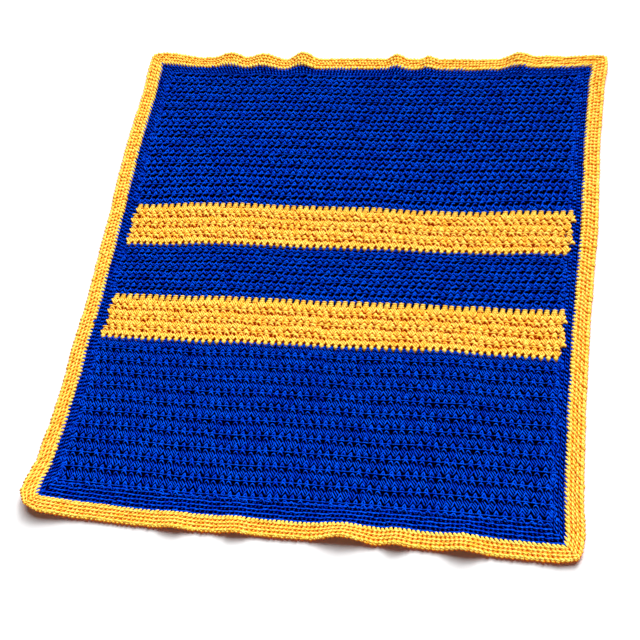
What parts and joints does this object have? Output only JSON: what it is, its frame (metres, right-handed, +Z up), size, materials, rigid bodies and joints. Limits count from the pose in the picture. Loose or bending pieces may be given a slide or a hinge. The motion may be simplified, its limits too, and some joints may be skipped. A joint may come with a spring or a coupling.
{
  "type": "crocheted blanket",
  "caption": "Rectangular crocheted blanket lying flat, blue ribbed rows with two gold stripes, a blue edging and a gold border with a gently rippled hem.",
  "frame": {"origin": "on the surface the blanket lies on, under its middle", "axes": "+X across the blanket, +Y from the near hem to the far hem, +Z up"},
  "size_m": [0.9205, 1.005, 0.0216],
  "materials": {
    "blue_yarn": "matt twisted yarn, single crochet",
    "gold_yarn": "matt twisted yarn, single crochet"
  },
  "bodies": {
    "root": {"lower_blue_panel": "blue_yarn", "lower_gold_stripe": "gold_yarn", "middle_blue_panel": "blue_yarn", "upper_gold_stripe": "gold_yarn", "upper_blue_panel": "blue_yarn", "blue_edging_near": "blue_yarn", "blue_edging_right": "blue_yarn", "blue_edging_far": "blue_yarn", "blue_edging_left": "blue_yarn", "gold_border_near": "gold_yarn", "gold_border_right": "gold_yarn", "gold_border_far": "gold_yarn", "gold_border_left": "gold_yarn"}
  },
  "joints": []
}
